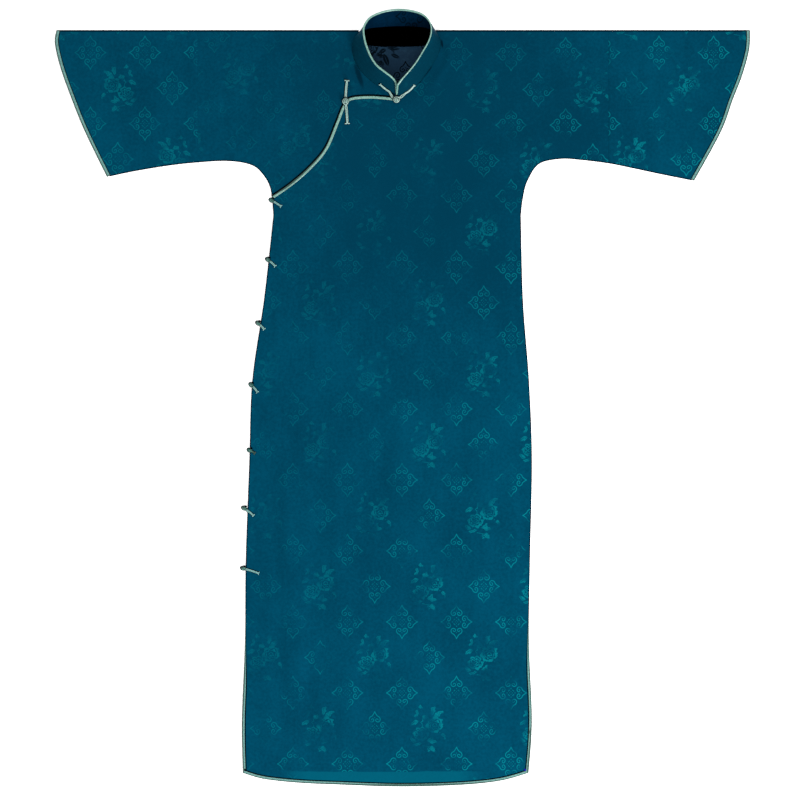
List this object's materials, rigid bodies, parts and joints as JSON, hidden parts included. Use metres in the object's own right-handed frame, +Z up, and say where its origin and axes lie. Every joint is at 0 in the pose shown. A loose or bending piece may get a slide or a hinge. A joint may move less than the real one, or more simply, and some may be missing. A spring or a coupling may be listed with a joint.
{
  "type": "qipao",
  "caption": "Long straight qipao laid flat: wide sleeves, stand collar, curved side overlap, piped edges and knotted fastenings.",
  "frame": {"origin": "on the surface that the garment lies on, under the middle of its whole outline", "axes": "+Z up out of the front, +Y towards the collar, +X towards the sleeve away from the side opening"},
  "size_m": [1.166, 1.3054, 0.0462],
  "materials": {
    "damask": "teal silk damask, tone on tone, satin sheen",
    "facing": "black plain cotton",
    "binding": "pale celadon silk satin"
  },
  "bodies": {
    "root": {"back_body": "damask", "front_body": "damask", "under_front": "damask", "sleeve_left": "damask", "sleeve_right": "damask", "neck_facing": "facing", "collar": "damask", "collar_binding": "binding", "lapel_binding": "binding", "cuff_binding_left": "binding", "cuff_binding_right": "binding", "hem_binding_front": "binding", "hem_binding_back": "binding", "frog_side_1_loop": "binding", "frog_side_1_knot": "binding", "frog_side_2_loop": "binding", "frog_side_2_knot": "binding", "frog_side_3_loop": "binding", "frog_side_3_knot": "binding", "frog_side_4_loop": "binding", "frog_side_4_knot": "binding", "frog_side_5_loop": "binding", "frog_side_5_knot": "binding", "frog_side_6_loop": "binding", "frog_side_6_knot": "binding", "frog_side_7_loop": "binding", "frog_side_7_knot": "binding", "frog_lapel_loop": "binding", "frog_lapel_knot": "binding", "frog_collar_loop": "binding", "frog_collar_knot": "binding"}
  },
  "joints": []
}
